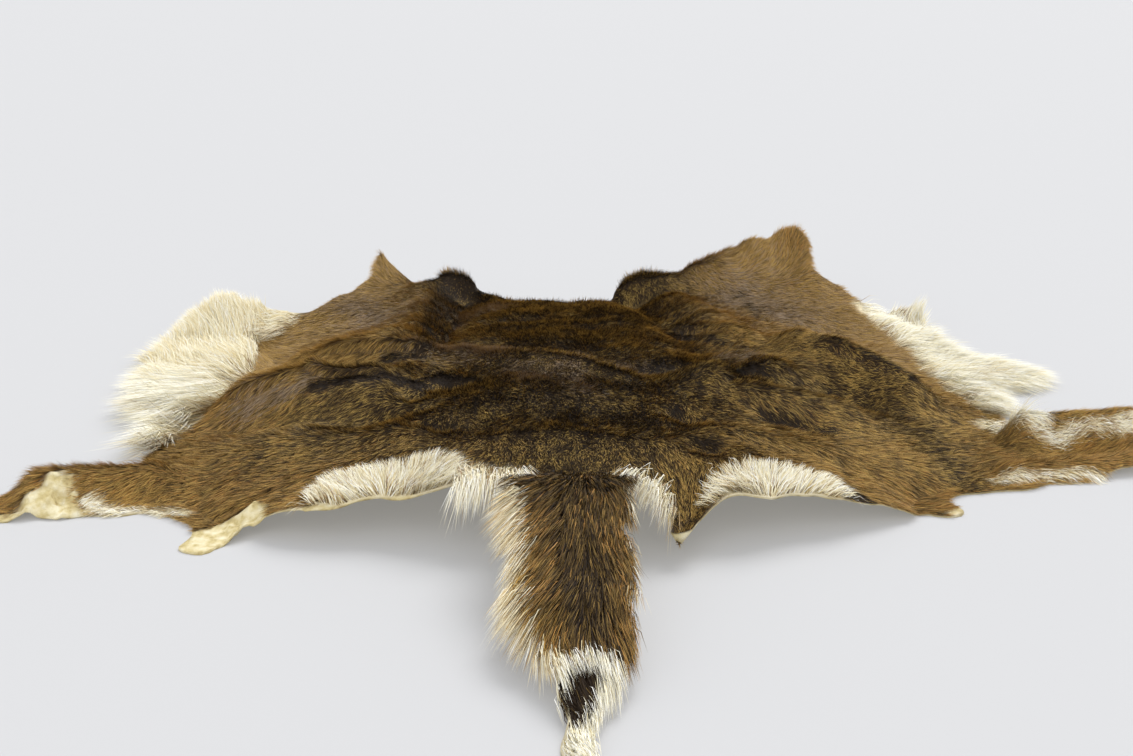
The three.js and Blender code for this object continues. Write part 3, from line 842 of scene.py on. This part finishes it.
def growCoat(name, box, seed):
    rng = np.random.default_rng(seed)

    def keep(x, y, depth):
        bare, tailShare = smooth(0.3, 0.7, bareSkin(x, y)), smooth(0.3, 0.7, onTail(x, y))
        return (1 - whiteHair(x, y)) * (1 - bare) * (1 - tailShare)
    x, y, depth = scatterRoots(rng, coat["spacing"], box, keep)
    n = len(x)
    lockX, lockY = np.floor(x / coat["lockSize"]), np.floor(0.5 * y / coat["lockSize"])
    wave = np.sin(lockX * 12.9898 + lockY * 78.233) * 43758.5453
    lock = 2 * (wave - np.floor(wave)) - 1
    dark = darkHair(x, y)
    dx, dy = flow(x, y)
    rumple = coat["rumple"] * cloud(x, y, 46, 21) * (0.3 + dark)
    stray = rng.normal(0, coat["turn"], n) * (1 + 0.8 * dark)
    dx, dy = turned(dx, dy, rumple + coat["lockTurn"] * lock + stray)
    back = np.maximum(dark, 0.8 * patches(greyRows, x, y))
    length = mix(coat["length"], coat["backLength"], back)
    length = length * (1 + coat["lengthSpread"] * rng.uniform(-1, 1, n))
    length *= mix(0.62, 1.0, smooth(0, 14, depth)) * (1 - 0.4 * capsules(pitShadeRows, x, y, 6))
    lean = mix(coat["lean"], coat["backLean"], dark)
    lean = lean + coat["leanSpread"] * rng.normal(0, 1, n) + 4 * cloud(x, y, 24, 22)
    neck = smooth(22, 4, depth) * smooth(800, 850, y) * smooth(190, 150, np.abs(x + 30))
    lean, length = lean + 34 * neck * rng.random(n), length * (1 + 0.9 * neck * rng.random(n))
    shownX, shownY = x + coat["shown"] * dx * length, y + coat["shown"] * dy * length
    tone = 0.6 * lock + 0.5 * cloud(x, 0.4 * y, 22, 23) + 1.3 * dark * cloud(x, 0.6 * y, 3.6, 24)
    weights = streak(coatWeights(shownX, shownY), tone)
    key = pickKeys(weights, rng)
    width = coat["width"] * rng.uniform(0.75, 1.25, n)
    parts = strands(rng, x, y, dx, dy, length, np.clip(lean, 4, 60), width, key)
    return hairPiece(name, parts, coatHair)


furPieces = [growCoat(name, box, coat["seed"] + i) for i, (name, box) in enumerate(coatPieces)]

# Long white hair of the belly edges, the rump and the shank
pale = {
    "spacing": 1.18, "leanSpread": 7, "width": 0.72, "turn": 15, "lock": 15, "lockPull": 0.3, "seed": 41,
}
palePieces = [                          # name, box in plan, length, lean in degrees, droop in mm
    ("bellyHairLeft", ((-680, -330), (230, 900)), 64, 17, 3),
    ("bellyHairRight", ((412, 740), (344, 900)), 46, 15, 3),
    ("rumpHairLeft", ((-330, -20), (-20, 150)), 32, 24, 14),
    ("rumpHairRight", ((20, 330), (-20, 150)), 32, 24, 14),
    ("shankHairLeft", ((-680, -330), (60, 230)), 18, 16, 3),
    ("shankHairRight", ((400, 740), (150, 344)), 22, 16, 3),
]


def growPale(name, box, long, lean, droop, seed):
    rng = np.random.default_rng(seed)

    def keep(x, y, depth):
        return whiteHair(x, y) * (1 - smooth(0.4, 0.8, bareSkin(x, y)))
    x, y, depth = scatterRoots(rng, pale["spacing"], box, keep)
    n = len(x)
    dx, dy = flow(x, y, fans=True)
    sway = 26 * cloud(x, y, 44, 51) + mix(12, 34, smooth(46, 6, depth)) * cloud(x, y, 15, 52)
    dx, dy = turned(dx, dy, sway + rng.normal(0, pale["turn"], n))
    white = whiteHair(x, y)
    fan = capsules(fanRows, x, y, 8)
    length = long * rng.uniform(0.55, 1.15, n) * mix(0.5, 1.0, white) * (1 - 0.2 * fan)
    if name == "bellyHairLeft":         # it streams down to the shank, and its top stays within the outline
        length *= mix(1.0, 1.3, smooth(500, 420, y))
        room = mix(mix(38, 20, smooth(690, 750, y)), 84, smooth(560, 480, y))      # mm past the rim
        length = np.minimum(length, depth + room * rng.uniform(0.2, 1.5, n))
    if name.startswith("rump"):         # locks that hang beside the tail
        length *= mix(1.9 if name == "rumpHairRight" else 1.5, 1.0, fan)
    hang = droop * (1 - fan) * rng.uniform(0.5, 1.5, n) * mix(1.0, 2.2, smooth(20, 0, depth))
    lean = lean + pale["leanSpread"] * rng.normal(0, 1, n) + 5 * cloud(x, y, 30, 53) + 10 * fan
    lean = np.clip(lean, 4, 55)
    inner = smooth(0.45, 0.95, white - 0.25 * cloud(x, y, 30, 54) - 0.12 * fan)
    weights = mix(mixWeights("border"), mixWeights("belly"), inner)
    weights = mix(weights, mixWeights("fan"), smooth(520, 640, y) * smooth(0.7, 0.95, white) * (x < 0))
    weights = mix(weights, mixWeights("rump"), fan)
    key = pickKeys(weights, rng)
    width = pale["width"] * rng.uniform(0.7, 1.3, n)
    parts = strands(rng, x, y, dx, dy, length, lean, width, key, bend=0.5, droop=hang,
                    clump=(pale["lock"], pale["lockPull"]), jointed=True)
    return hairPiece(name, parts, paleHair)


furPieces += [growPale(*row, pale["seed"] + i) for i, row in enumerate(palePieces)]

# Tail: dark down its parting, red-brown at its sides, a pale fringe, a black spot and a white tip
tail = {
    "spacing": 0.86, "length": 40, "leftFringe": 56, "rightFringe": 40, "tip": 26,
    "lean": 15, "leanSpread": 6, "width": 0.72, "turn": 8, "parting": 5,
    "leftSpread": 40, "rightSpread": 13,        # degrees that the sides stand off
    "lock": 15, "lockPull": 0.36,
    "spotFrom": (14, -252), "spotTo": (4, -288), "spotRadius": 8.5,
    "whiteFrom": -236, "end": -374, "seed": 71,
}


def growTail():
    rng = np.random.default_rng(tail["seed"])

    def keep(x, y, depth):
        return smooth(0.3, 0.7, onTail(x, y))
    x, y, depth = scatterRoots(rng, tail["spacing"], ((-90, 120), (-370, 70)), keep)
    n = len(x)
    tailX, half = section(tailRows, y, "x", "half")
    across = (x - tailX - tail["parting"]) / half
    side = np.clip(np.abs(across), 0, 1.2)
    left = across < 0
    fringe = smooth(0.76, 1.02, side + 0.12 * cloud(x, y, 24, 61))
    lower = smooth(-150, -225, y)
    spread = np.where(left, -tail["leftSpread"], tail["rightSpread"])
    spread = spread * side ** 0.8 * mix(1, -0.55, lower) * smooth(60, 20, y)
    heading = spread + 13 * cloud(x, y, 36, 63) + rng.normal(0, tail["turn"], n)
    dx, dy = turned(np.zeros(n), -np.ones(n), heading)
    longest = np.where(left, tail["leftFringe"], tail["rightFringe"])
    length = mix(tail["length"], longest, fringe * (1 - 0.8 * lower))
    length = mix(length, tail["tip"], smooth(-240, -270, y)) * rng.uniform(0.65, 1.15, n)
    length = np.minimum(length * mix(0.6, 1.0, smooth(60, 0, y)), np.maximum(6, y - tail["end"]))
    lean = np.clip(tail["lean"] + tail["leanSpread"] * rng.normal(0, 1, n), 4, 45)
    mx, my = x + 0.55 * dx * length, y + 0.55 * dy * length     # a hair takes the colour of where it shows
    below = smooth(tail["whiteFrom"] + 10, tail["whiteFrom"] - 10, my + 12 * cloud(mx, my, 16, 62))
    spotRow = {"from": tail["spotFrom"], "to": tail["spotTo"], "radius": tail["spotRadius"]}
    spot = capsules([spotRow], mx, my, 3)
    parting = smooth(0.34, 0.1, side) * smooth(-90, -110, y) * smooth(-215, -190, y)
    weights = mixWeights("tailBack") * np.ones((1, n))
    for zone, share in (("tailSide", smooth(0.25, 0.7, side) * smooth(10, -60, y)), ("tailPart", parting),
                        ("tailFringe", fringe * smooth(40, -10, y)), ("belly", below), ("tailSpot", spot)):
        weights = mix(weights, mixWeights(zone), share)
    weights = streak(weights, 0.6 * cloud(x, y, 10, 64))
    width = tail["width"] * rng.uniform(0.7, 1.3, n)
    key = pickKeys(weights, rng)
    hang = mix(1.0, 9.0, fringe) * rng.uniform(0.5, 1.5, n)
    parts = strands(rng, x, y, dx, dy, length, lean, width, key, bend=0.45, droop=hang,
                    clump=(tail["lock"], tail["lockPull"]), jointed=True)
    return hairPiece("tailHair", parts, tailHair)


furPieces.append(growTail())

# Floor, light and camera
stage = {
    "floor": (0.40, 0.40, 0.408), "floorGlow": 0.18, "floorReach": 24.0,
    "sun": 2.3, "sunAngle": 38, "sunFrom": (0.35, 0.7, 1.0),
    "fill": 1.5, "fillAngle": 70, "fillFrom": (-0.1, -1.0, 0.42), "world": 0.75,
    "lens": 47.66, "cameraX": 0.0, "cameraY": -1232.5, "cameraZ": 542.8, "pitch": 16.5,
}


def buildStage():
    reach = stage["floorReach"]
    mesh = bpy.data.meshes.new("floor")
    corners = [(-reach, -reach, 0), (reach, -reach, 0), (reach, reach, 0), (-reach, reach, 0)]
    mesh.from_pydata(corners, [], [(0, 1, 2, 3)])
    floor = bpy.data.objects.new("floor", mesh)
    bpy.context.scene.collection.objects.link(floor)
    material = bpy.data.materials.new("paleFloor")
    material.use_nodes = True
    shader = material.node_tree.nodes["Principled BSDF"]
    shader.inputs["Base Color"].default_value = (*stage["floor"], 1)
    shader.inputs["Roughness"].default_value = 0.9
    shader.inputs["Specular IOR Level"].default_value = 0.15
    shader.inputs["Emission Color"].default_value = (0.985, 0.99, 1.0, 1)       # lifts the shadows
    shader.inputs["Emission Strength"].default_value = stage["floorGlow"]
    mesh.materials.append(material)

    for name in ("sun", "fill"):
        lightData = bpy.data.lights.new(name, "SUN")
        lightData.energy = stage[name]
        lightData.angle = math.radians(stage[name + "Angle"])
        light = bpy.data.objects.new(name, lightData)
        bpy.context.scene.collection.objects.link(light)
        x, y, z = stage[name + "From"]
        light.rotation_euler = (math.atan2(math.hypot(x, y), z), 0, math.atan2(x, -y))

    world = bpy.data.worlds.new("paleRoom")
    world.use_nodes = True
    back = world.node_tree.nodes["Background"]
    back.inputs["Color"].default_value = (0.97, 0.985, 1.0, 1)
    back.inputs["Strength"].default_value = stage["world"]
    bpy.context.scene.world = world

    cameraData = bpy.data.cameras.new("camera")
    cameraData.sensor_width = 36
    cameraData.lens = stage["lens"]
    cameraData.clip_end = 100
    camera = bpy.data.objects.new("camera", cameraData)
    bpy.context.scene.collection.objects.link(camera)
    camera.location = ((stage["cameraX"] - form["centreX"]) / 1000,
                       (stage["cameraY"] - form["centreY"]) / 1000, stage["cameraZ"] / 1000)
    camera.rotation_euler = (math.radians(90 - stage["pitch"]), 0, 0)
    bpy.context.scene.camera = camera
    bpy.context.scene.view_settings.view_transform = "Standard"


buildStage()
print("stage ready")

bpy.context.view_layer.update()
